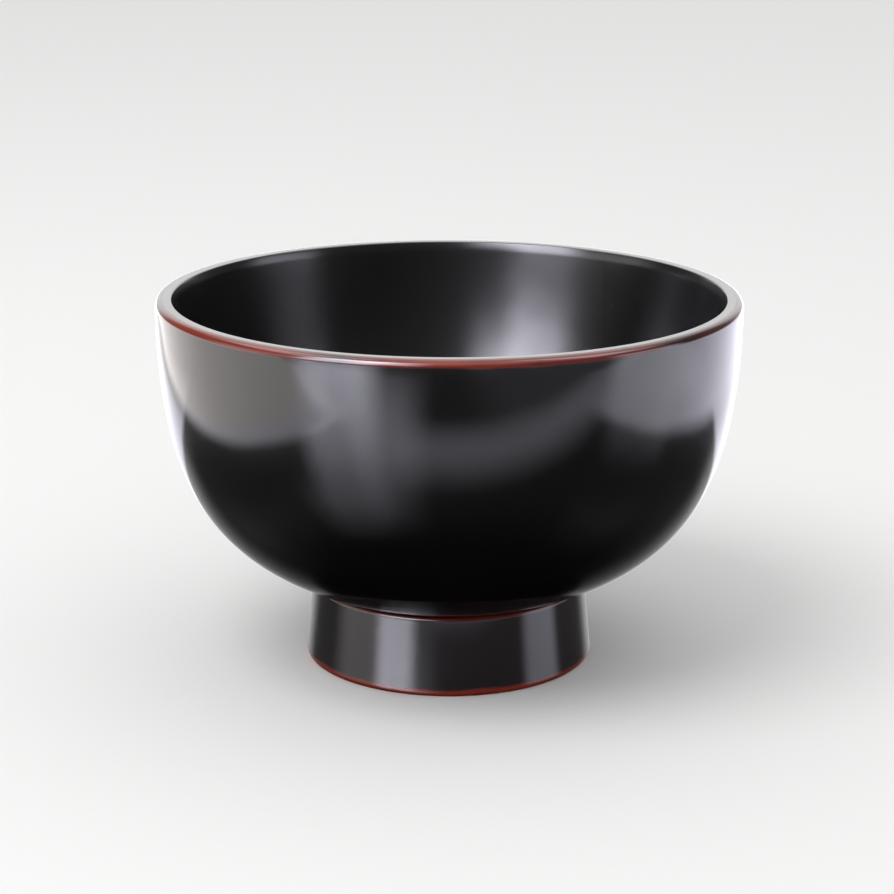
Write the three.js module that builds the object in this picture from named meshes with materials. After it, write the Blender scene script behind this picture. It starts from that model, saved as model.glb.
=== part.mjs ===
// A turned wooden rice bowl on a tall flared foot ring, finished in lacquer.
//
// The bowl is built as the real one is. A turned bowl core stands with a short spigot in a
// separate foot ring, and a bed of glue joins them. Hemp cloth strengthens the lip, the inside
// of the bottom and the sole of the foot. Levelling paste fills the wood between the cloths,
// and a ground coat, a red coat and a black coat cover all of it. The coats are laid in four
// fields, because each field is painted and dried before the bowl is turned over: the inside,
// the outside, the foot ring and the recess under the bowl.
//
// Everything is round about +Z. Z is 0 on the table, and all lengths are in millimetres.

import * as THREE from 'three';

// ---- Driving dimensions of the finished bowl ----

const bowlHeight = 77;
const lipRadius = 60.1; // the widest place, just under the top of the lip
const lipThickness = 3.1;
const lipShoulder = 1.2; // rounding of the lip's outer edge
const lipChamfer = 0.5; // break of the lip's inner edge
const lipEaseHeight = 2; // the inside leans out over this height, up to the lip
const insideDepth = 58;

const footHeight = 16.5; // to the top of the shoulder's rounding
const footTopRadius = 28.7;
const footBottomRadius = 30.2;
const footEdge = 1; // rounding of the foot's shoulder and of both edges of its sole
const recessDepth = 12.6;
const recessMouthRadius = 25.8;
const recessTopRadius = 22.8;

const spigotRadius = 22;
const glueThickness = 0.3;
const ringStart = 0.2; // from the crevice round the shoulder, where the ring's wood starts

// The bowl's side leaves the foot at a low angle and stands upright at the lip.
const undersideAngle = THREE.MathUtils.degToRad(20.4);
const undersideReach = 24.1;
const sideReach = 36.3;

// The inside starts level at the bottom, steepens up the wall and then leans out to the lip.
const insideBottomReach = 36;
const insideSideReach = 44;
const insideWallLean = THREE.MathUtils.degToRad(5.9);
const lipLean = THREE.MathUtils.degToRad(17);

// The foot's rounded shoulder dips under the bowl at this angle, and leaves a crevice there.
const creviceAngle = THREE.MathUtils.degToRad(69);

// ---- Layers, from the finished surface down to the wood ----

const filmGap = 0.03; // clearance between one layer and the next
const seamGap = 0.05; // clearance where two layers of one depth meet

const [blackLayer, redLayer, groundLayer, clothLayer] = stackedLayers([0.15, 0.15, 0.2, 0.25]);
const woodDepth = clothLayer.bottom + filmGap;

// ---- Fineness of the faceted solids ----

const turningFacets = 28; // a multiple of 4, so that the widest corners lie on the X and Y axes
const insideFacets = 6;
const outsideFacets = 7;
const edgeFacets = 2;

function stackedLayers(thicknesses) {
  let depth = 0;
  return thicknesses.map((thickness) => {
    const layer = { top: depth, bottom: depth + thickness };
    depth = layer.bottom + filmGap;
    return layer;
  });
}

// ---- Outline of the finished bowl ----

// The outline runs from the axis at the bottom of the inside, up over the lip, down the
// outside and round the foot, to the axis again at the top of the recess.

function at(radius, height) {
  return new THREE.Vector2(radius, height);
}

function arc(centre, radius, fromAngle, toAngle) {
  const curve = new THREE.EllipseCurve(
    centre.x, centre.y, radius, radius, fromAngle, toAngle, toAngle < fromAngle,
  );
  return curve.getPoints(edgeFacets);
}

function innerEdgeOfLip() {
  return at(lipRadius - lipThickness, bowlHeight - lipChamfer);
}

function insideOfBowl() {
  const bottom = bowlHeight - insideDepth;
  const edge = innerEdgeOfLip();
  const lean = (insideWallLean + lipLean) / 2;
  const wallTop = at(edge.x - lipEaseHeight * Math.tan(lean), edge.y - lipEaseHeight);
  const reach = at(Math.sin(insideWallLean), Math.cos(insideWallLean)).multiplyScalar(insideSideReach);
  const curve = new THREE.CubicBezierCurve(
    at(0, bottom),
    at(insideBottomReach, bottom),
    wallTop.clone().sub(reach),
    wallTop,
  );
  return [...curve.getPoints(insideFacets), edge];
}

function topOfLip() {
  const innerCorner = lipRadius - lipThickness + lipChamfer;
  const outerCorner = lipRadius - lipShoulder;
  return [at(innerCorner, bowlHeight), at((innerCorner + outerCorner) / 2, bowlHeight)];
}

function outerEdgeOfLip() {
  return arc(at(lipRadius - lipShoulder, bowlHeight - lipShoulder), lipShoulder, Math.PI / 2, 0);
}

function shoulderOfFoot() {
  const centre = at(footTopRadius - footEdge, footHeight - footEdge);
  return arc(centre, footEdge, creviceAngle, footLean());
}

function outsideOfBowl() {
  const edge = bowlHeight - lipShoulder;
  const crevice = shoulderOfFoot()[0];
  const reach = at(Math.cos(undersideAngle), Math.sin(undersideAngle)).multiplyScalar(undersideReach);
  const curve = new THREE.CubicBezierCurve(
    at(lipRadius, edge),
    at(lipRadius, edge - sideReach),
    crevice.clone().add(reach),
    crevice,
  );
  return curve.getPoints(outsideFacets).slice(1);
}

function footLean() {
  return Math.atan2(footBottomRadius - footTopRadius, footHeight - 2 * footEdge);
}

function outerEdgeOfSole() {
  return arc(at(footBottomRadius - footEdge, footEdge), footEdge, footLean(), -Math.PI / 2);
}

function innerEdgeOfSole() {
  const lean = Math.atan2(recessMouthRadius - recessTopRadius, recessDepth - footEdge);
  return arc(at(recessMouthRadius + footEdge, footEdge), footEdge, -Math.PI / 2, lean - Math.PI);
}

const outline = [];
const places = { bottom: 0 }; // where each named corner stands in the outline

function addStretch(points, lastCorner) {
  outline.push(...points);
  places[lastCorner] = outline.length - 1;
}

addStretch(insideOfBowl(), 'innerLipEdge');
addStretch(topOfLip(), 'lipMiddle');
addStretch(outerEdgeOfLip(), 'outerLipEdge');
addStretch(outsideOfBowl(), 'crevice');
addStretch(shoulderOfFoot().slice(1), 'footShoulder');
addStretch(outerEdgeOfSole(), 'soleOutside');
addStretch(innerEdgeOfSole(), 'soleInside');
addStretch([at(recessTopRadius, recessDepth)], 'recessCorner');
addStretch([at(0, recessDepth)], 'recessMiddle');

// ---- Surfaces beneath the finished one ----

function mirrored(point) {
  return at(-point.x, point.y);
}

// The way into the material, square to the facet from one corner to the next.
function inwards(from, to) {
  const way = to.clone().sub(from).normalize();
  return at(way.y, -way.x);
}

// For each corner of the outline, the step that keeps both its facets 1 mm beneath
// the finished ones. At the axis the outline goes on as its own mirror image.
const steps = outline.map((corner, index) => {
  const before = outline[index - 1] ?? mirrored(outline[1]);
  const after = outline[index + 1] ?? mirrored(outline[index - 1]);
  const first = inwards(before, corner);
  const second = inwards(corner, after);
  return first.clone().add(second).divideScalar(1 + first.dot(second));
});

function sunkCorner(index, depth) {
  return outline[index].clone().addScaledVector(steps[index], depth);
}

// A place is a corner's number in the outline, or a fraction between two corners.
function sunkPlace(place, depth) {
  const index = Math.floor(place);
  if (index === place) {
    return sunkCorner(index, depth);
  }
  return sunkCorner(index, depth).lerp(sunkCorner(index + 1, depth), place - index);
}

function trace(from, to, depth) {
  const points = [sunkPlace(from, depth)];
  for (let index = Math.floor(from) + 1; index < to; index += 1) {
    points.push(sunkCorner(index, depth));
  }
  points.push(sunkPlace(to, depth));
  return points;
}

// The place a short distance past a corner, or before it when the distance is negative.
function besideCorner(corner, distance) {
  const neighbour = corner + Math.sign(distance);
  return corner + distance / outline[corner].distanceTo(outline[neighbour]);
}

// ---- Turned solids ----

// A profile runs the way the outline does, with the material on its right. LatheGeometry
// takes it the other way round, so that the faces point out of the material.
function turned(profile) {
  const geometry = new THREE.LatheGeometry(profile.toReversed(), turningFacets);
  geometry.rotateX(Math.PI / 2);
  return geometry;
}

function ring(corners) {
  return turned([...corners, corners[0].clone()]);
}

// One layer over the finished surface between two corners of the outline.
function layerGeometry(from, to, layer) {
  const startsOnAxis = from === places.bottom;
  const endsOnAxis = to === places.recessMiddle;
  const start = startsOnAxis ? from : besideCorner(from, seamGap);
  const end = endsOnAxis ? to : besideCorner(to, -seamGap);
  const upper = trace(start, end, layer.top);
  const lower = trace(start, end, layer.bottom).reverse();
  if (startsOnAxis) {
    return turned([...upper, ...lower]);
  }
  return endsOnAxis ? turned([...lower, ...upper]) : ring([...upper, ...lower]);
}

// The joint between the bowl core's spigot and the foot ring.
const ringStartPlace = besideCorner(places.crevice, ringStart);
const joint = {
  shoulder: sunkCorner(places.crevice, woodDepth),
  ringTop: sunkPlace(ringStartPlace, woodDepth),
  bore: spigotRadius + glueThickness,
  foot: recessDepth + woodDepth,
};

function bowlCoreGeometry() {
  return turned([
    ...trace(places.bottom, places.crevice, woodDepth),
    at(spigotRadius, joint.shoulder.y),
    at(spigotRadius, joint.foot),
    at(0, joint.foot),
  ]);
}

function footRingGeometry() {
  return ring([
    ...trace(ringStartPlace, places.recessCorner, woodDepth),
    at(joint.bore, joint.foot),
    at(joint.bore, joint.ringTop.y),
  ]);
}

function footGlueGeometry() {
  const inner = spigotRadius + filmGap;
  const sleeve = joint.bore - filmGap;
  const outer = joint.shoulder.x - seamGap;
  const bed = joint.ringTop.y + filmGap;
  const top = joint.shoulder.y - filmGap;
  return ring([
    at(inner, joint.foot),
    at(inner, top),
    at(outer, top),
    at(outer, bed),
    at(sleeve, bed),
    at(sleeve, joint.foot),
  ]);
}

// ---- Materials ----

const finishes = {
  blackLacquer: { color: 0x0c0909, roughness: 0.14, metalness: 0 },
  redLacquer: { color: 0x8c2a18, roughness: 0.35, metalness: 0 },
  ground: { color: 0x35302d, roughness: 0.9, metalness: 0 },
  paste: { color: 0x6a5340, roughness: 0.95, metalness: 0 },
  hemp: { color: 0xb7a684, roughness: 0.95, metalness: 0 },
  wood: { color: 0xb98a58, roughness: 0.7, metalness: 0 },
  glue: { color: 0x3a2417, roughness: 0.6, metalness: 0 },
};

// ---- The bowl ----

const bowl = new THREE.Group();

function addPiece(name, geometry, finish) {
  const piece = new THREE.Mesh(geometry, new THREE.MeshStandardMaterial(finish));
  piece.name = name;
  bowl.add(piece);
}

addPiece('bowl_core', bowlCoreGeometry(), finishes.wood);
addPiece('foot_ring', footRingGeometry(), finishes.wood);
addPiece('foot_glue', footGlueGeometry(), finishes.glue);

// The wood's whole surface is shared out between the cloths and the levelling paste. The
// cloths end at corners of the outline, counted here from the middle and from the lip.
const clothEnds = {
  bottom: places.bottom + 2,
  rimInside: places.innerLipEdge - 2,
  rimOutside: places.outerLipEdge + 1,
};

function addCover(name, from, to, finish) {
  addPiece(name, layerGeometry(from, to, clothLayer), finish);
}

addCover('bottom_cloth', places.bottom, clothEnds.bottom, finishes.hemp);
addCover('inner_paste', clothEnds.bottom, clothEnds.rimInside, finishes.paste);
addCover('rim_cloth', clothEnds.rimInside, clothEnds.rimOutside, finishes.hemp);
addCover('outer_paste', clothEnds.rimOutside, places.crevice, finishes.paste);
addCover('foot_paste', places.crevice, places.footShoulder, finishes.paste);
addCover('foot_cloth', places.footShoulder, places.recessCorner, finishes.hemp);
addCover('well_paste', places.recessCorner, places.recessMiddle, finishes.paste);

const fields = {
  inner: [places.bottom, places.lipMiddle],
  outer: [places.lipMiddle, places.crevice],
  foot: [places.crevice, places.recessCorner],
  well: [places.recessCorner, places.recessMiddle],
};

for (const [field, [from, to]] of Object.entries(fields)) {
  addPiece(`${field}_ground`, layerGeometry(from, to, groundLayer), finishes.ground);
  addPiece(`${field}_red_coat`, layerGeometry(from, to, redLayer), finishes.redLacquer);
  addPiece(`${field}_black_coat`, layerGeometry(from, to, blackLayer), finishes.blackLacquer);
}

export default bowl;
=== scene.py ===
# A turned wooden rice bowl, finished in black lacquer over red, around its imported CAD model.
#
# The CAD layers are turned in coarse facets. Each of them is replaced here by a fine turned
# mesh of the same layer, so the bowl is still made of its wood, glue, cloths, paste and coats.
# All lengths are in metres, +Z is up, and the bowl stands on Z = 0.

import math
from typing import NamedTuple

import bpy
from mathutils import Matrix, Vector


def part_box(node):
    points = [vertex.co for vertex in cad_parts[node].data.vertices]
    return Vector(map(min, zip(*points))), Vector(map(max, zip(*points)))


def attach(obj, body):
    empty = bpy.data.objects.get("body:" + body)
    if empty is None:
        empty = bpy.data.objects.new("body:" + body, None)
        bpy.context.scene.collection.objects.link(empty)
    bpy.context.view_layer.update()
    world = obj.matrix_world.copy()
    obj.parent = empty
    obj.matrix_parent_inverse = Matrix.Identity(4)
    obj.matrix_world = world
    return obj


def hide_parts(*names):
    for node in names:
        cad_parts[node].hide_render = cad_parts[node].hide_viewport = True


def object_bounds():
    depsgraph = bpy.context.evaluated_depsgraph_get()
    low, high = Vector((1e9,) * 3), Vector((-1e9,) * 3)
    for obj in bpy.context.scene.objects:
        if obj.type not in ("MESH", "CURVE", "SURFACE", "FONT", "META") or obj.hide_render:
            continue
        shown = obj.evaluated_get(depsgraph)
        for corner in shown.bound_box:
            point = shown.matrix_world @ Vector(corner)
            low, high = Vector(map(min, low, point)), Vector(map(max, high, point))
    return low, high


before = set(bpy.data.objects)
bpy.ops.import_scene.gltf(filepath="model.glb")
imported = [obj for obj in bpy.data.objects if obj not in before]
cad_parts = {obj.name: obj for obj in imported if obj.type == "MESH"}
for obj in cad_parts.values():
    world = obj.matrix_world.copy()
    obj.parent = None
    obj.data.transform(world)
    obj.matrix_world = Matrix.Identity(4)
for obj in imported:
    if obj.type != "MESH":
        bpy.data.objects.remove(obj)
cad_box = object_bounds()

MM = 0.001

# ---- Sizes given by the frame ----

lip_radius = cad_box[1].x
bowl_height = cad_box[1].z
recess_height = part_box("well_black_coat")[0].z
foot_bottom_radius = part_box("foot_black_coat")[1].x


def layer_depths(kind):
    """How deep a layer's two faces lie under the finished surface, read over the recess."""
    lowest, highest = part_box("well_" + kind)
    return lowest.z - recess_height, highest.z - recess_height


black_depths = layer_depths("black_coat")
red_depths = layer_depths("red_coat")
ground_depths = layer_depths("ground")
cover_depths = layer_depths("paste")
film_gap = red_depths[0] - black_depths[1]
wood_depth = cover_depths[1] + film_gap
inside_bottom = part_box("inner_black_coat")[0].z + black_depths[1]
spigot_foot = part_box("bowl_core")[0].z
bottom_cloth_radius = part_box("bottom_cloth")[1].x
inner_paste_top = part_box("inner_paste")[1].z
outer_paste_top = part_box("outer_paste")[1].z

# ---- Sizes of the finished outline ----

LIP_SHOULDER = 1.45 * MM  # rounding of the lip's outer edge
LIP_CROWN = 30 * MM  # rounding of the lip's top, which falls a little towards the inside
LIP_CROWN_TILT = math.radians(3)
LIP_INNER_EDGE = 0.35 * MM  # rounding of the lip's inner edge
LIP_LEAN = math.radians(17)  # the inside leans out this far where it reaches the lip
LIP_EASE_HEIGHT = 2 * MM  # the height over which it does

INSIDE_WALL_LEAN = math.radians(5.9)
INSIDE_BOTTOM_REACH = 36 * MM
INSIDE_SIDE_REACH = 44 * MM

SIDE_REACH = 36.3 * MM
UNDERSIDE_ANGLE = math.radians(20.4)
UNDERSIDE_REACH = 24.1 * MM

FOOT_HEIGHT = 16.5 * MM
FOOT_TOP_RADIUS = 28.7 * MM
FOOT_EDGE = 1 * MM  # rounding of the foot's shoulder and of both edges of its sole
CREVICE_ANGLE = math.radians(69)
RECESS_MOUTH_RADIUS = 25.8 * MM
RECESS_TOP_RADIUS = 22.8 * MM

SPIGOT_RADIUS = 22 * MM
GLUE_THICKNESS = 0.3 * MM
RING_START = 0.2 * MM  # from the crevice round the shoulder, where the ring's wood starts
SEAM_GAP = 0.01 * MM  # each of two layers of one depth stops this far short of their seam

# ---- Fineness of the meshes ----

TURNING_STEPS = 144
INSIDE_STEPS = 40
EASE_STEPS = 8
OUTSIDE_STEPS = 48
EDGE_STEPS = 8
STRAIGHT_END = 0.25 * MM  # a straight stretch has a short facet at each end, and shades flat
ON_AXIS = 0.001 * MM  # a point nearer the axis than this is a single vertex
SHARP_ANGLE = math.radians(40)


# ---- Outline of the finished bowl, as points of radius and height ----


def arc(centre, radius, start, end):
    """Points on an arc. The angles run anticlockwise from straight out."""
    points = []
    for step in range(EDGE_STEPS + 1):
        angle = start + (end - start) * step / EDGE_STEPS
        points.append(centre + radius * Vector((math.cos(angle), math.sin(angle))))
    return points


def curve(start, start_reach, end_reach, end, steps):
    """Points on the cubic curve that leaves start along start_reach and meets end along end_reach."""
    points = []
    for step in range(steps + 1):
        t = step / steps
        s = 1 - t
        bend = 3 * s * s * t * (start + start_reach) + 3 * s * t * t * (end + end_reach)
        points.append(s**3 * start + bend + t**3 * end)
    return points


def straight(start, end):
    short = (end - start).normalized() * STRAIGHT_END
    return [start, start + short, end - short, end]


def upwards(lean, length):
    """A step up that leans outwards."""
    return Vector((math.sin(lean), math.cos(lean))) * length


def lip():
    """The centre of the lip's inner rounding, that rounding, the crown, and the outer shoulder."""
    top_radius = lip_radius - LIP_SHOULDER
    crown_centre = Vector((top_radius, bowl_height - LIP_CROWN))
    crown_start = math.pi / 2 + LIP_CROWN_TILT
    way_in = Vector((math.cos(crown_start), math.sin(crown_start)))
    edge_centre = crown_centre + (LIP_CROWN - LIP_INNER_EDGE) * way_in
    shoulder_centre = Vector((top_radius, bowl_height - LIP_SHOULDER))
    inner_edge = arc(edge_centre, LIP_INNER_EDGE, math.pi - LIP_LEAN, crown_start)
    crown = arc(crown_centre, LIP_CROWN, crown_start, math.pi / 2)
    shoulder = arc(shoulder_centre, LIP_SHOULDER, math.pi / 2, 0)
    return edge_centre, inner_edge, crown, shoulder


def inside(lip_start):
    """From the middle of the bottom up to the lip's inner edge."""
    mean_lean = (INSIDE_WALL_LEAN + LIP_LEAN) / 2
    wall_top = lip_start - Vector((math.tan(mean_lean), 1)) * LIP_EASE_HEIGHT
    ease_reach = LIP_EASE_HEIGHT / 3
    wall = curve(
        Vector((0, inside_bottom)),
        Vector((INSIDE_BOTTOM_REACH, 0)),
        -upwards(INSIDE_WALL_LEAN, INSIDE_SIDE_REACH),
        wall_top,
        INSIDE_STEPS,
    )
    ease = curve(
        wall_top,
        upwards(INSIDE_WALL_LEAN, ease_reach),
        -upwards(LIP_LEAN, ease_reach),
        lip_start,
        EASE_STEPS,
    )
    return wall + ease[1:]


def foot_lean():
    return math.atan2(foot_bottom_radius - FOOT_TOP_RADIUS, FOOT_HEIGHT - 2 * FOOT_EDGE)


def foot_shoulder():
    centre = Vector((FOOT_TOP_RADIUS - FOOT_EDGE, FOOT_HEIGHT - FOOT_EDGE))
    return arc(centre, FOOT_EDGE, CREVICE_ANGLE, foot_lean())


def outside():
    """From the lip's shoulder down to the crevice over the foot."""
    reach = Vector((math.cos(UNDERSIDE_ANGLE), math.sin(UNDERSIDE_ANGLE))) * UNDERSIDE_REACH
    return curve(
        Vector((lip_radius, bowl_height - LIP_SHOULDER)),
        Vector((0, -SIDE_REACH)),
        reach,
        foot_shoulder()[0],
        OUTSIDE_STEPS,
    )


def sole():
    """The sole's outer rounding, and its inner rounding."""
    recess_lean = math.atan2(RECESS_MOUTH_RADIUS - RECESS_TOP_RADIUS, recess_height - FOOT_EDGE)
    outer_centre = Vector((foot_bottom_radius - FOOT_EDGE, FOOT_EDGE))
    inner_centre = Vector((RECESS_MOUTH_RADIUS + FOOT_EDGE, FOOT_EDGE))
    outer = arc(outer_centre, FOOT_EDGE, foot_lean(), -math.pi / 2)
    inner = arc(inner_centre, FOOT_EDGE, -math.pi / 2, recess_lean - math.pi)
    return outer, inner


outline = []
places = {"bottom": 0}  # where each named corner stands in the outline


def add_stretch(points, last_corner):
    """Adds points that go on from the outline's last one, and names the last of them."""
    outline.extend(points if not outline else points[1:])
    places[last_corner] = len(outline) - 1


inner_edge_centre, inner_edge, crown, shoulder = lip()
outer_sole, inner_sole = sole()
recess_corner = Vector((RECESS_TOP_RADIUS, recess_height))

add_stretch(inside(inner_edge[0]), "inside_top")
add_stretch(inner_edge, "crown_start")
add_stretch(crown, "lip_middle")
add_stretch(shoulder, "lip_outside")
add_stretch(outside(), "crevice")
add_stretch(foot_shoulder(), "foot_wall_top")
add_stretch(straight(foot_shoulder()[-1], outer_sole[0]), "foot_wall_foot")
add_stretch(outer_sole, "sole_outside")
add_stretch(straight(outer_sole[-1], inner_sole[0]), "sole_inside")
add_stretch(inner_sole, "recess_mouth")
add_stretch(straight(inner_sole[-1], recess_corner), "recess_corner")
add_stretch(straight(recess_corner, Vector((0, recess_height))), "recess_middle")


# ---- Surfaces beneath the finished one ----


def mirrored(point):
    return Vector((-point.x, point.y))


def into_material(start, end):
    """The way in, square to the facet between two points."""
    way = (end - start).normalized()
    return Vector((way.y, -way.x))


def mitre(first, second):
    """The step that takes a corner one metre deeper, given the ways in from its two facets."""
    return (first + second) / (1 + first.dot(second))


def sinking_step(index):
    """The step that takes a corner, and both facets that meet there, one metre deeper."""
    corner = outline[index]
    before = outline[index - 1] if index > 0 else mirrored(outline[1])
    after = outline[index + 1] if index + 1 < len(outline) else mirrored(outline[index - 1])
    return mitre(into_material(before, corner), into_material(corner, after))


steps = [sinking_step(index) for index in range(len(outline))]


def sharp_inner_edge(depth):
    """Where the wall and the crown meet, beneath the centre of the lip's inner rounding."""
    wall_end = places["inside_top"]
    crown_start = places["crown_start"]
    from_wall = into_material(outline[wall_end - 1], outline[wall_end])
    from_crown = into_material(outline[crown_start], outline[crown_start + 1])
    return inner_edge_centre + mitre(from_wall, from_crown) * (depth - LIP_INNER_EDGE)


def sunk_corner(index, depth):
    """One corner of the outline, sunk. Deeper than its radius, the lip's inner edge is sharp."""
    if depth > LIP_INNER_EDGE and places["inside_top"] <= index <= places["crown_start"]:
        return sharp_inner_edge(depth)
    return outline[index] + steps[index] * depth


def sunk_place(place, depth):
    """A place is a corner's number in the outline, or a fraction between two corners."""
    index = math.floor(place)
    corner = sunk_corner(index, depth)
    if index == place:
        return corner
    return corner.lerp(sunk_corner(index + 1, depth), place - index)


def trace(start, end, depth):
    """The outline between two places, sunk. A corner that falls on the one before it is left out."""
    corners = range(math.floor(start) + 1, math.ceil(end))
    points = [sunk_place(place, depth) for place in (start, *corners, end)]
    return [point for before, point in zip([None, *points], points) if point != before]


def beside(corner, distance):
    """The place a short distance past a corner, or before it when the distance is negative."""
    neighbour = corner + (1 if distance > 0 else -1)
    return corner + distance / (outline[neighbour] - outline[corner]).length


def first_corner(test, start, end):
    """The first corner between two places whose point passes the test."""
    return next(index for index in range(start, end) if test(outline[index]))


# ---- Turned meshes ----


def corner_rows(profile):
    """The vertices of a turned profile, and for each profile point the row of its vertices."""
    vertices = []
    rows = []
    for point in profile:
        first = len(vertices)
        if point.x < ON_AXIS:
            vertices.append((0, 0, point.y))
            rows.append([first] * (TURNING_STEPS + 1))
            continue
        for step in range(TURNING_STEPS):
            angle = math.tau * step / TURNING_STEPS
            vertices.append((point.x * math.cos(angle), point.x * math.sin(angle), point.y))
        rows.append([*range(first, first + TURNING_STEPS), first])
    return vertices, rows


def turned(name, profile, closed):
    """A solid turned about +Z, from a profile with its material on the right.

    The map on its faces is in metres: across it runs the turn, and up it the profile.
    """
    vertices, rows = corner_rows(profile)
    mean_radius = sum(point.x for point in profile) / len(profile)
    pairs = [(index, index + 1) for index in range(len(profile) - 1)]
    if closed:
        pairs.append((len(profile) - 1, 0))
    faces = []
    corners = []
    height = 0
    for lower, upper in pairs:
        length = (profile[upper] - profile[lower]).length
        for step in range(TURNING_STEPS):
            left = math.tau * mean_radius * step / TURNING_STEPS
            right = math.tau * mean_radius * (step + 1) / TURNING_STEPS
            face = {}
            for row, column, place in (
                (lower, step, (left, height)),
                (upper, step, (left, height + length)),
                (upper, step + 1, (right, height + length)),
                (lower, step + 1, (right, height)),
            ):
                face.setdefault(rows[row][column], place)
            faces.append(list(face))
            corners.extend(face.values())
        height += length
    mesh = bpy.data.meshes.new(name)
    mesh.from_pydata(vertices, [], faces)
    layer = mesh.uv_layers.new(name="turning")
    for loop, place in zip(layer.data, corners):
        loop.uv = place
    mesh.shade_smooth()
    mesh.set_sharp_from_angle(angle=SHARP_ANGLE)
    piece = bpy.data.objects.new(name, mesh)
    bpy.context.scene.collection.objects.link(piece)
    return piece


def add_piece(node, profile, closed, material):
    """Makes the fine piece that stands for one CAD node."""
    piece = turned("fine_" + node, profile, closed)
    piece.data.materials.append(material)
    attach(piece, "root")
    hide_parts(node)
    return piece


def add_layer(node, start, end, depths, material, slot):
    """Makes one layer that follows the finished surface between two places of the outline."""
    starts_on_axis = start == places["bottom"]
    ends_on_axis = end == places["recess_middle"]
    first = start if starts_on_axis else beside(start, SEAM_GAP)
    last = end if ends_on_axis else beside(end, -SEAM_GAP)
    upper = trace(first, last, depths[0])
    lower = trace(first, last, depths[1])[::-1]
    profile = lower + upper if ends_on_axis else upper + lower
    closed = not (starts_on_axis or ends_on_axis)
    add_piece(node, profile, closed, material)


# ---- Short ways to build node trees ----


class Nodes:
    """Adds nodes to one tree. Every value may be a number, a tuple or another node's socket."""

    def __init__(self, tree):
        self.tree = tree
        self.tree.nodes.clear()

    def add(self, kind, inputs, **settings):
        node = self.tree.nodes.new("ShaderNode" + kind)
        for name, value in settings.items():
            setattr(node, name, value)
        for name, value in inputs.items():
            if isinstance(value, bpy.types.NodeSocket):
                self.tree.links.new(value, node.inputs[name])
            else:
                node.inputs[name].default_value = value
        return node

    def math(self, operation, *values):
        return self.add("Math", dict(enumerate(values)), operation=operation).outputs[0]

    def rise(self, value, start, end):
        """0 below start, 1 above end, and smooth between them. It falls if end is below start."""
        limits = {"Value": value, "From Min": start, "From Max": end}
        return self.add("MapRange", limits, interpolation_type="SMOOTHSTEP").outputs[0]

    def between(self, value, low, high, feather):
        """1 between two values, and 0 away from them."""
        up = self.rise(value, low - feather, low + feather)
        down = self.rise(value, high + feather, high - feather)
        return self.math("MULTIPLY", up, down)

    def spread(self, value, low, high):
        """The low number where the value is 0, and the high one where it is 1."""
        return self.math("MULTIPLY_ADD", value, high - low, low)

    def wave(self, value, spacing):
        """A sine wave from -1 to 1, with its crests at the given spacing."""
        return self.math("SINE", self.math("MULTIPLY", value, math.tau / spacing))

    def noise(self, vector, size, detail=2.0):
        """Cloudy noise about 0.5, with lumps of the given size."""
        inputs = {"Vector": vector, "Scale": 1 / size, "Detail": detail}
        return self.add("TexNoise", inputs).outputs[0]

    def mix(self, amount, first, second):
        """The first colour at 0, the second at 1. The node's sockets for colours are 6 and 7."""
        return self.add("Mix", {0: amount, 6: first, 7: second}, data_type="RGBA").outputs[2]

    def bump(self, height, distance, normal=None):
        """Surface relief, where a height of 1 stands for the distance."""
        inputs = {"Height": height, "Distance": distance}
        if normal is not None:
            inputs["Normal"] = normal
        return self.add("Bump", inputs).outputs[0]


class Surface(Nodes):
    """The node tree of one material, with the point's place in the bowl's frame."""

    def __init__(self, name):
        self.material = bpy.data.materials.new(name)
        self.material.use_nodes = True
        super().__init__(self.material.node_tree)
        coordinates = self.add("TexCoord", {})
        self.place = coordinates.outputs["Object"]
        self.map = coordinates.outputs["UV"]
        self.x, self.y, self.height = self.add("SeparateXYZ", {0: self.place}).outputs
        squares = (self.math("MULTIPLY", axis, axis) for axis in (self.x, self.y))
        self.radius = self.math("SQRT", self.math("ADD", *squares))

    def finish(self, **inputs):
        """Ends the tree in one Principled shader. Underscores in its inputs' names are spaces."""
        named = {name.replace("_", " "): value for name, value in inputs.items()}
        shader = self.add("BsdfPrincipled", named)
        self.add("OutputMaterial", {"Surface": shader.outputs[0]})
        return self.material


# ---- Lacquer ----

BLACK = (0.0019, 0.0018, 0.0018, 1)
WARM_BLACK = (0.0026, 0.0021, 0.0020, 1)
BROWN_BLACK = (0.0085, 0.0040, 0.0046, 1)
RED = (0.25, 0.027, 0.011, 1)
DARK_RED = (0.09, 0.010, 0.006, 1)

# Each rubbed band ends raggedly: noise shifts its end up and down within the ragged size.
LIP_RAGGED = 1.2 * MM
LIP_WEAR_END = 1.8 * MM  # below the top of the lip
LIP_WEAR_FULL = 0.9 * MM
LIP_SIDE_START = -0.1 * MM  # out from the edge of the lip's flat top
LIP_SIDE_FULL = 0.7 * MM
LIP_TOP_START = -1.4 * MM
LIP_TOP_FULL = -0.3 * MM
LIP_TOP_SHARE = 0.3  # how much of the wear the flat top has

SOLE_RAGGED = 1.6 * MM
SOLE_WEAR_END = 1.95 * MM  # above the table
SOLE_WEAR_FULL = 1.0 * MM

SHOULDER_LINE = 0.8 * MM  # width of the red line round the top of the foot
SHOULDER_DROP = 0.05 * MM  # from the foot's top down to the line
SHOULDER_FEATHER = 0.25 * MM
SHOULDER_SHARE = 0.7
SHOULDER_FADE = 0.8 * MM  # out from the foot's top radius, where the line starts to fade
SHOULDER_END = 1.5 * MM  # and where it ends, which keeps it off the bowl's underside

RAGGED_LENGTH = 9 * MM
CLOUD_SIZE = 26 * MM
RIPPLE_HEIGHT = 0.14 * MM
DUST_SIZE = 0.7 * MM
DUST_START = 0.84  # only the highest peaks of the noise are specks of dust
DUST_FULL = 0.88
DUST_HEIGHT = 0.012 * MM
RUBBED_ROUGHER = 0.08


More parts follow.
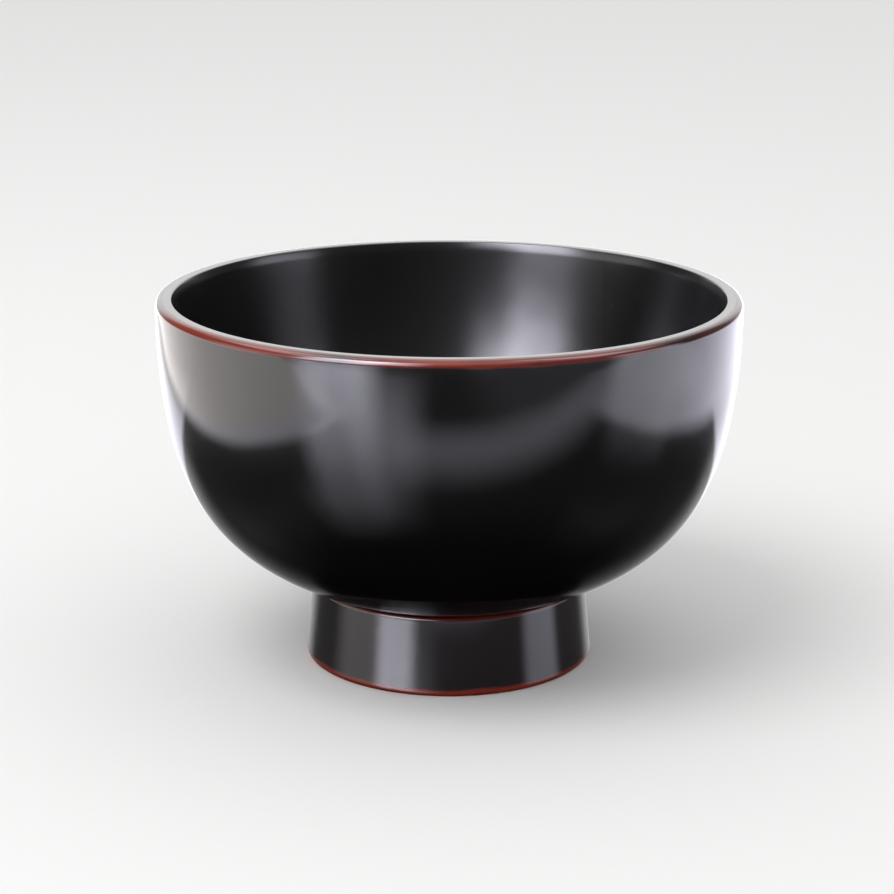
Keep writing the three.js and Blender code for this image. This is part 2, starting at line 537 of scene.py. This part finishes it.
class Rub(NamedTuple):
    """A stretch of the lip where the black is rubbed thin. Angles are in degrees, 0 at -Y."""

    azimuth: float
    reach: float
    share: float


LIP_RUBS = (
    Rub(-49, 22, 1.0),
    Rub(1, 13, 1.0),
    Rub(23, 14, 0.7),
    Rub(70, 14, 0.35),
    Rub(125, 20, 0.6),
    Rub(195, 24, 0.8),
    Rub(238, 14, 0.4),
)
LEAST_RUBBED = 0.12  # the share that the lip has between them
RUB_FEATHER = 11  # degrees


def rubbed(surface):
    """How far each stretch of the lip is rubbed through, from 0 to 1."""
    share = LEAST_RUBBED
    for rub in LIP_RUBS:
        azimuth = math.radians(rub.azimuth)
        sideways = surface.math("MULTIPLY", surface.x, math.sin(azimuth))
        towards = surface.math("MULTIPLY_ADD", surface.y, -math.cos(azimuth), sideways)
        closeness = surface.math("DIVIDE", towards, surface.radius)
        none = math.cos(math.radians(rub.reach + RUB_FEATHER))
        full = math.cos(math.radians(rub.reach - RUB_FEATHER))
        here = surface.math("MULTIPLY", surface.rise(closeness, none, full), rub.share)
        share = surface.math("MAXIMUM", share, here)
    return share


def worn_lip(surface, ragged):
    """Where lips and cloths rub the black off: the lip's shoulder, and thinly its flat top."""
    drop = surface.math("SUBTRACT", bowl_height, surface.height)
    centred = surface.math("SUBTRACT", drop, LIP_RAGGED / 2)
    uneven = surface.math("MULTIPLY_ADD", ragged, LIP_RAGGED, centred)
    shoulder = surface.rise(uneven, LIP_WEAR_END, LIP_WEAR_FULL)
    top_edge = lip_radius - LIP_SHOULDER
    side = surface.rise(surface.radius, top_edge + LIP_SIDE_START, top_edge + LIP_SIDE_FULL)
    flat_top = surface.rise(surface.radius, top_edge + LIP_TOP_START, top_edge + LIP_TOP_FULL)
    place = surface.math("MAXIMUM", side, surface.math("MULTIPLY", flat_top, LIP_TOP_SHARE))
    return surface.math("MULTIPLY", surface.math("MULTIPLY", shoulder, place), rubbed(surface))


def worn_sole(surface, ragged):
    """Where the foot is rubbed by the table."""
    centred = surface.math("SUBTRACT", surface.height, SOLE_RAGGED / 2)
    uneven = surface.math("MULTIPLY_ADD", ragged, SOLE_RAGGED, centred)
    return surface.rise(uneven, SOLE_WEAR_END, SOLE_WEAR_FULL)


def worn_foot_shoulder(surface, clouds):
    """A faint brown-red line, stronger in places, where fingers rub the top of the foot."""
    top = FOOT_HEIGHT - SHOULDER_DROP
    line = surface.between(surface.height, top - SHOULDER_LINE, top, SHOULDER_FEATHER)
    fade = FOOT_TOP_RADIUS + SHOULDER_FADE
    on_foot = surface.rise(surface.radius, FOOT_TOP_RADIUS + SHOULDER_END, fade)
    share = surface.math("MULTIPLY", clouds, SHOULDER_SHARE)
    return surface.math("MULTIPLY", surface.math("MULTIPLY", line, on_foot), share)


def black_lacquer(name, thin_colour, gloss_roughness, haze):
    """Black lacquer over red: clear gloss over a soft haze, and red where it is rubbed through."""
    surface = Surface(name)
    ragged = surface.noise(surface.place, RAGGED_LENGTH, detail=4.0)
    clouds = surface.noise(surface.place, CLOUD_SIZE)
    wear = surface.math(
        "MAXIMUM",
        surface.math("MAXIMUM", worn_lip(surface, ragged), worn_sole(surface, ragged)),
        worn_foot_shoulder(surface, clouds),
    )
    specks = surface.noise(surface.place, DUST_SIZE, detail=0.0)
    dust = surface.rise(specks, DUST_START, DUST_FULL)
    black = surface.mix(clouds, BLACK, thin_colour)
    red = surface.mix(ragged, DARK_RED, RED)
    haze_roughness = surface.spread(clouds, 0.28, 0.40)
    rippled = surface.bump(clouds, RIPPLE_HEIGHT)
    dusty = surface.bump(dust, DUST_HEIGHT, rippled)
    return surface.finish(
        Base_Color=surface.mix(wear, black, red),
        Roughness=surface.math("MULTIPLY_ADD", wear, RUBBED_ROUGHER, haze_roughness),
        Specular_IOR_Level=haze,
        Coat_Weight=1.0,
        Coat_Roughness=gloss_roughness,
        Normal=dusty,
        Coat_Normal=dusty,
    )


def red_lacquer():
    """The red coat under the black one, flatted with water stone before it is covered."""
    surface = Surface("red_lacquer")
    cloud = surface.noise(surface.place, 8 * MM, detail=4.0)
    fine = surface.noise(surface.place, 0.4 * MM)
    return surface.finish(
        Base_Color=surface.mix(cloud, DARK_RED, RED),
        Roughness=surface.spread(fine, 0.35, 0.55),
        Coat_Weight=0.3,
        Normal=surface.bump(fine, 0.01 * MM),
    )


# ---- Materials beneath the lacquer ----

GROUND_DARK = (0.020, 0.017, 0.015, 1)
GROUND_PALE = (0.052, 0.042, 0.035, 1)
PASTE_DARK = (0.105, 0.068, 0.040, 1)
PASTE_PALE = (0.19, 0.125, 0.075, 1)
CLOTH_DARK = (0.22, 0.15, 0.085, 1)
CLOTH_PALE = (0.60, 0.48, 0.32, 1)
WOOD_DARK = (0.30, 0.145, 0.055, 1)
WOOD_PALE = (0.56, 0.33, 0.15, 1)
GLUE_DARK = (0.024, 0.012, 0.007, 1)
GLUE_PALE = (0.07, 0.035, 0.018, 1)

THREAD_SPACING = 0.8 * MM
RING_SPACING = 2.4 * MM
RING_BEND = 12 * MM
RING_SHARE = 0.55  # of the wood's shade, and the fibres have the rest
TOOL_MARK_SPACING = 0.6 * MM


def ground_coat():
    """Lacquer mixed with fired clay powder, rubbed flat with a stone."""
    surface = Surface("ground_coat")
    cloud = surface.noise(surface.place, 6 * MM, detail=5.0)
    grit = surface.noise(surface.place, 0.15 * MM)
    return surface.finish(
        Base_Color=surface.mix(cloud, GROUND_DARK, GROUND_PALE),
        Roughness=surface.spread(grit, 0.65, 0.90),
        Normal=surface.bump(grit, 0.02 * MM),
    )


def levelling_paste():
    """Wood powder and lacquer, spread with a spatula."""
    surface = Surface("levelling_paste")
    cloud = surface.noise(surface.place, 5 * MM, detail=4.0)
    crumbs = surface.noise(surface.place, 0.3 * MM, detail=3.0)
    return surface.finish(
        Base_Color=surface.mix(cloud, PASTE_DARK, PASTE_PALE),
        Roughness=surface.spread(crumbs, 0.75, 0.95),
        Normal=surface.bump(crumbs, 0.05 * MM),
    )


def hemp_cloth():
    """Plain-woven hemp, set in lacquer."""
    surface = Surface("hemp_cloth")
    turn, rise, _ = surface.add("SeparateXYZ", {0: surface.map}).outputs
    across = surface.wave(turn, 2 * THREAD_SPACING)
    along = surface.wave(rise, 2 * THREAD_SPACING)
    # 1 where one set of threads lies on top, and 0 where the crossing set does.
    weave = surface.spread(surface.math("MULTIPLY", across, along), 0.5, 1)
    slub = surface.noise(surface.place, 1.2 * MM, detail=4.0)
    shade = surface.math("MULTIPLY", weave, slub)
    return surface.finish(
        Base_Color=surface.mix(shade, CLOTH_DARK, CLOTH_PALE),
        Roughness=surface.spread(weave, 0.95, 0.75),
        Normal=surface.bump(weave, 0.12 * MM, surface.bump(slub, 0.05 * MM)),
    )


def turned_wood():
    """Close-grained wood, with its growth rings standing across the bowl and fine tool marks."""
    surface = Surface("turned_wood")
    bend = surface.noise(surface.place, 40 * MM)
    distance = surface.math("MULTIPLY_ADD", bend, RING_BEND, surface.x)
    rings = surface.spread(surface.wave(distance, RING_SPACING), 0.5, 1)
    fibre_place = surface.add("Mapping", {"Vector": surface.place, "Scale": (1, 0.08, 1)}).outputs[0]
    fibres = surface.noise(fibre_place, 0.35 * MM, detail=3.0)
    marks = surface.wave(surface.height, TOOL_MARK_SPACING)
    fibre_shade = surface.math("MULTIPLY", fibres, 1 - RING_SHARE)
    shade = surface.math("MULTIPLY_ADD", rings, RING_SHARE, fibre_shade)
    return surface.finish(
        Base_Color=surface.mix(shade, WOOD_DARK, WOOD_PALE),
        Roughness=surface.spread(fibres, 0.55, 0.75),
        Normal=surface.bump(marks, 0.008 * MM, surface.bump(fibres, 0.03 * MM)),
    )


def lacquer_glue():
    """Raw lacquer kneaded with flour, dried brown between the spigot and the foot ring."""
    surface = Surface("lacquer_glue")
    lumps = surface.noise(surface.place, 1.5 * MM, detail=3.0)
    return surface.finish(
        Base_Color=surface.mix(lumps, GLUE_DARK, GLUE_PALE),
        Roughness=surface.spread(lumps, 0.40, 0.65),
        Normal=surface.bump(lumps, 0.05 * MM),
    )


# ---- The bowl's pieces ----


def add_wood(wood, glue):
    """The bowl core with its spigot, the foot ring around it, and the glue between them."""
    ring_start = beside(places["crevice"], RING_START)
    shoulder_place = sunk_place(places["crevice"], wood_depth)
    ring_top = sunk_place(ring_start, wood_depth).y
    bore = SPIGOT_RADIUS + GLUE_THICKNESS
    core = trace(places["bottom"], places["crevice"], wood_depth) + [
        Vector((SPIGOT_RADIUS, shoulder_place.y)),
        Vector((SPIGOT_RADIUS, spigot_foot)),
        Vector((0, spigot_foot)),
    ]
    ring = trace(ring_start, places["recess_corner"], wood_depth) + [
        Vector((bore, spigot_foot)),
        Vector((bore, ring_top)),
    ]
    bed_outside = shoulder_place.x - GLUE_THICKNESS
    bed = [
        Vector((SPIGOT_RADIUS + film_gap, spigot_foot)),
        Vector((SPIGOT_RADIUS + film_gap, shoulder_place.y - film_gap)),
        Vector((bed_outside, shoulder_place.y - film_gap)),
        Vector((bed_outside, ring_top + film_gap)),
        Vector((bore - film_gap, ring_top + film_gap)),
        Vector((bore - film_gap, spigot_foot)),
    ]
    add_piece("bowl_core", core, False, wood)
    add_piece("foot_ring", ring, True, wood)
    add_piece("foot_glue", bed, True, glue)


def add_covers(cloth, paste):
    """The cloths at the bottom, the lip and the sole, and the paste that fills between them."""
    wall = (places["bottom"] + 1, places["inside_top"])
    side = (places["lip_outside"], places["crevice"])
    bottom_end = first_corner(lambda point: point.x > bottom_cloth_radius, *wall)
    rim_inside = first_corner(lambda point: point.y > inner_paste_top, *wall)
    rim_outside = first_corner(lambda point: point.y < outer_paste_top, *side)
    covers = (
        ("bottom_cloth", places["bottom"], bottom_end, cloth, "hemp_cloth"),
        ("inner_paste", bottom_end, rim_inside, paste, "levelling_paste"),
        ("rim_cloth", rim_inside, rim_outside, cloth, "hemp_cloth"),
        ("outer_paste", rim_outside, places["crevice"], paste, "levelling_paste"),
        ("foot_paste", places["crevice"], places["foot_wall_top"], paste, "levelling_paste"),
        ("foot_cloth", places["foot_wall_top"], places["recess_corner"], cloth, "hemp_cloth"),
        ("well_paste", places["recess_corner"], places["recess_middle"], paste, "levelling_paste"),
    )
    for node, start, end, material, slot in covers:
        add_layer(node, start, end, cover_depths, material, slot)


def add_coats(ground, red):
    """The ground, the red coat and the black coat, in the four fields they are painted in."""
    hazy = black_lacquer("black_lacquer_inside", WARM_BLACK, gloss_roughness=0.18, haze=0.14)
    deep = black_lacquer("black_lacquer_outside", WARM_BLACK, gloss_roughness=0.07, haze=0.04)
    brown = black_lacquer("black_lacquer_foot", BROWN_BLACK, gloss_roughness=0.13, haze=0.04)
    fields = (
        ("inner", "bottom", "lip_middle", hazy),
        ("outer", "lip_middle", "crevice", deep),
        ("foot", "crevice", "recess_corner", brown),
        ("well", "recess_corner", "recess_middle", brown),
    )
    for field, start, end, black in fields:
        stretch = (places[start], places[end])
        add_layer(field + "_ground", *stretch, ground_depths, ground, "ground_coat")
        add_layer(field + "_red_coat", *stretch, red_depths, red, "red_lacquer")
        add_layer(field + "_black_coat", *stretch, black_depths, black, "black_lacquer")


add_wood(turned_wood(), lacquer_glue())
add_covers(hemp_cloth(), levelling_paste())
add_coats(ground_coat(), red_lacquer())

# ---- Stage: camera, floor and light ----

CAMERA_AIM = Vector((-0.4 * MM, 0, 44.1 * MM))
CAMERA_DISTANCE = 498.7 * MM
CAMERA_ELEVATION = math.radians(15.56)
CAMERA_ROLL = 0.0023  # radians
CAMERA_LENS = 96.06  # millimetres, on a 36 mm sensor

FLOOR_RADIUS = 3
FLOOR_SIDES = 64
FLOOR_COLOUR = (0.80, 0.80, 0.795, 1)

KEY_LIGHT_PLACE = Vector((-0.55, -0.5, 1.1))
KEY_LIGHT_SIZE = 0.9
KEY_LIGHT_WATTS = 7


def add_camera():
    data = bpy.data.cameras.new("camera")
    data.lens = CAMERA_LENS
    camera = bpy.data.objects.new("camera", data)
    way_back = Vector((0, -math.cos(CAMERA_ELEVATION), math.sin(CAMERA_ELEVATION)))
    camera.location = Vector((0, 0, CAMERA_AIM.z)) + way_back * CAMERA_DISTANCE
    view = CAMERA_AIM - camera.location
    camera.rotation_euler = view.to_track_quat("-Z", "Y").to_euler()
    camera.rotation_euler.rotate_axis("Z", CAMERA_ROLL)
    bpy.context.scene.collection.objects.link(camera)
    bpy.context.scene.camera = camera


def add_floor():
    """A plain pale floor. The lacquer mirrors another ground in its place."""
    mesh = bpy.data.meshes.new("floor")
    angles = [math.tau * step / FLOOR_SIDES for step in range(FLOOR_SIDES)]
    rim = [(FLOOR_RADIUS * math.cos(turn), FLOOR_RADIUS * math.sin(turn), 0) for turn in angles]
    mesh.from_pydata(rim, [], [range(FLOOR_SIDES)])
    surface = Surface("floor")
    paper = surface.noise(surface.place, 1.5 * MM)
    mesh.materials.append(
        surface.finish(
            Base_Color=FLOOR_COLOUR,
            Roughness=0.9,
            Specular_IOR_Level=0.0,
            Normal=surface.bump(paper, 0.01 * MM),
        )
    )
    floor = bpy.data.objects.new("floor", mesh)
    floor.visible_glossy = False
    bpy.context.scene.collection.objects.link(floor)


def add_key_light():
    """A large soft light at the front left, for the shadow on the floor."""
    data = bpy.data.lights.new("key_light", "AREA")
    data.shape = "DISK"
    data.size = KEY_LIGHT_SIZE
    data.energy = KEY_LIGHT_WATTS
    light = bpy.data.objects.new("key_light", data)
    light.location = KEY_LIGHT_PLACE
    aim = CAMERA_AIM - light.location
    light.rotation_euler = aim.to_track_quat("-Z", "Y").to_euler()
    light.visible_glossy = False
    bpy.context.scene.collection.objects.link(light)


# ---- Stage: the room that only reflections show ----

COOL = (0.99, 0.98, 1.12, 1)
WARM = (1.06, 1.0, 0.99, 1)
NEUTRAL = (1, 1, 1, 1)


class Card(NamedTuple):
    """An upright soft-edged glowing card that faces the bowl."""

    name: str
    facing: float  # azimuth in degrees, 0 towards the camera and 90 towards +X
    distance: float
    reach: float  # half its width
    bottom: float
    top: float
    side_feather: float
    end_feather: float
    strength: float
    colour: tuple


CARDS = (
    Card("window", -43, 2.0, 0.5, 0.24, 3.0, 0.26, 0.2, 11.0, COOL),
    Card("upper_window", -45, 2.0, 0.75, 1.55, 3.0, 0.3, 0.3, 6.5, COOL),
    Card("curtain", -24, 2.0, 0.36, 0.6, 3.0, 0.33, 0.35, 8.0, COOL),
    Card("left_wall", -75, 0.9, 0.35, 0, 0.35, 0.2, 0.15, 1.6, WARM),
    Card("right_wall", 79, 0.9, 0.25, 0, 0.35, 0.1, 0.15, 2.8, COOL),
    Card("upper_left_wall", -98, 0.9, 0.45, 0.8, 3.5, 0.25, 0.2, 2.6, WARM),
    Card("upper_right_wall", 78, 0.9, 0.3, 0.8, 3.5, 0.2, 0.2, 3.5, COOL),
    Card("back_wall", 180, 0.9, 0.7, 0, 1.6, 0.3, 0.4, 1.4, NEUTRAL),
)


class Patch(NamedTuple):
    """A soft-edged bright rectangle on the mirrored ground, in millimetres."""

    left: float
    right: float
    front: float
    back: float
    side_feather: float
    end_feather: float
    strength: float
    turn: float = 0  # degrees about +Z, through the bowl's axis


# Pale ground, laid round the sides of a dark table top that the bowl stands on.
FAR = 3000  # millimetres
PATCHES = (
    Patch(-FAR, -164, -155, FAR, 14, 45, 2.3, turn=10.5),  # left of the table
    Patch(183, FAR, -145, FAR, 22, 35, 2.3),  # right of the table
    Patch(245, FAR, -130, 60, 40, 45, 0.6),  # brighter further to the right
    Patch(-175, 183, 85, FAR, 18, 8, 1.0),  # behind the table
    Patch(-230, -120, 85, FAR, 30, 8, 0.6),  # brighter behind on the left
    Patch(100, 183, 85, FAR, 25, 8, 0.7),  # brighter behind on the right
    Patch(-45, FAR, -205, -145, 30, 32, 1.2),  # a strip in front of the table
    Patch(60, FAR, -FAR, -200, 60, 30, 0.25),  # dim in front on the right
)
WARM_SIDE = -200 * MM  # the ground's light is warm to the left of this
COOL_SIDE = -150 * MM  # and cool to the right of this

TABLE_GLOSS = 1.33  # what the table top mirrors at a grazing angle
TABLE_FALL = 3  # the power by which it mirrors less as it is seen from higher up
TABLE_ROUGHNESS = 0.14
TABLE_GLOW = 1.0  # where the ground glows less than this it is all table, and mirrors fully
GROUND_GLOW = 3.2  # where it glows more than this it is all ground, and mirrors nothing

BACKDROP = (0.93, 0.93, 0.92, 1)
ROOM = (0.9, 0.9, 0.9, 1)
DIM_ROOM = (0.15, 0.15, 0.15, 1)
CEILING = (1.6, 1.6, 1.6, 1)
CEILING_START = 0.45  # upward share of the direction at which the mirrored ceiling starts
CEILING_FULL = 0.85


def mirrored_only(stage_piece):
    """Adds a piece of the stage that lights nothing, casts no shadow, and is only mirrored."""
    stage_piece.visible_camera = False
    stage_piece.visible_diffuse = False
    stage_piece.visible_shadow = False
    bpy.context.scene.collection.objects.link(stage_piece)


def rectangle(name, left, right, low, high):
    """An upright rectangle that faces -Y."""
    mesh = bpy.data.meshes.new(name)
    corners = [(left, 0, low), (right, 0, low), (right, 0, high), (left, 0, high)]
    mesh.from_pydata(corners, [], [range(4)])
    return mesh


def add_card(card):
    half_width = card.reach + card.side_feather
    low = max(card.bottom - card.end_feather, 0)
    mesh = rectangle(card.name, -half_width, half_width, low, card.top + card.end_feather)
    surface = Surface(card.name)
    in_width = surface.between(surface.x, -card.reach, card.reach, card.side_feather)
    in_height = surface.between(surface.height, card.bottom, card.top, card.end_feather)
    glow = surface.math("MULTIPLY", surface.math("MULTIPLY", in_width, in_height), card.strength)
    emission = surface.add("Emission", {"Color": card.colour, "Strength": glow}).outputs[0]
    clear = surface.add("BsdfTransparent", {}).outputs[0]
    both = surface.add("AddShader", {0: emission, 1: clear}).outputs[0]
    surface.add("OutputMaterial", {"Surface": both})
    mesh.materials.append(surface.material)
    piece = bpy.data.objects.new(card.name, mesh)
    facing = math.radians(card.facing)
    piece.location = Vector((math.sin(facing), -math.cos(facing), 0)) * card.distance
    piece.rotation_euler.z = facing
    mirrored_only(piece)


def patch_share(surface, patch):
    """1 on a patch of the mirrored ground, 0 off it. The ground's object has its Z along +Y."""
    left, right, front, back, side_feather, end_feather = (size * MM for size in patch[:6])
    cosine = math.cos(math.radians(patch.turn))
    sine = math.sin(math.radians(patch.turn))
    sideways = surface.math("MULTIPLY", surface.height, sine)
    across = surface.math("MULTIPLY_ADD", surface.x, cosine, sideways)
    backwards = surface.math("MULTIPLY", surface.height, cosine)
    along = surface.math("MULTIPLY_ADD", surface.x, -sine, backwards)
    in_width = surface.between(across, left, right, side_feather)
    in_depth = surface.between(along, front, back, end_feather)
    return surface.math("MULTIPLY", in_width, in_depth)


def add_mirrored_ground():
    """Pale ground round a dark table top, which mirrors more the lower it is seen."""
    reach = FAR * MM
    mesh = rectangle("mirrored_ground", -reach, reach, -reach, reach)
    surface = Surface("mirrored_ground")
    glow = 0.0
    for patch in PATCHES:
        glow = surface.math("MULTIPLY_ADD", patch_share(surface, patch), patch.strength, glow)
    light = surface.mix(surface.rise(surface.x, WARM_SIDE, COOL_SIDE), WARM, COOL)
    facing = surface.add("LayerWeight", {}).outputs["Facing"]
    gloss = surface.math("MULTIPLY", surface.math("POWER", facing, TABLE_FALL), TABLE_GLOSS)
    mirror_colour = surface.math("MULTIPLY", gloss, surface.rise(glow, GROUND_GLOW, TABLE_GLOW))
    mirror = surface.add("BsdfAnisotropic", {"Color": mirror_colour, "Roughness": TABLE_ROUGHNESS})
    emission = surface.add("Emission", {"Color": light, "Strength": glow})
    both = surface.add("AddShader", {0: emission.outputs[0], 1: mirror.outputs[0]})
    surface.add("OutputMaterial", {"Surface": both.outputs[0]})
    mesh.materials.append(surface.material)
    piece = bpy.data.objects.new("mirrored_ground", mesh)
    piece.rotation_euler.x = -math.pi / 2
    mirrored_only(piece)


def add_world():
    """Pale light all round, and a dim room in the lacquer's reflections."""
    world = bpy.data.worlds.new("studio")
    bpy.context.scene.world = world
    world.use_nodes = True
    world.cycles.sampling_method = "NONE"
    nodes = Nodes(world.node_tree)
    path = nodes.add("LightPath", {}).outputs
    plain = nodes.mix(path["Is Camera Ray"], ROOM, BACKDROP)
    way = nodes.add("TexCoord", {}).outputs["Generated"]
    upwards_share = nodes.add("SeparateXYZ", {0: way}).outputs[2]
    overhead = nodes.rise(upwards_share, CEILING_START, CEILING_FULL)
    mirrored_room = nodes.mix(overhead, DIM_ROOM, CEILING)
    colour = nodes.mix(path["Is Glossy Ray"], plain, mirrored_room)
    background = nodes.add("Background", {"Color": colour}).outputs[0]
    nodes.add("OutputWorld", {"Surface": background})


add_camera()
add_floor()
add_key_light()
for card in CARDS:
    add_card(card)
add_mirrored_ground()
add_world()
bpy.context.scene.view_settings.view_transform = "Standard"
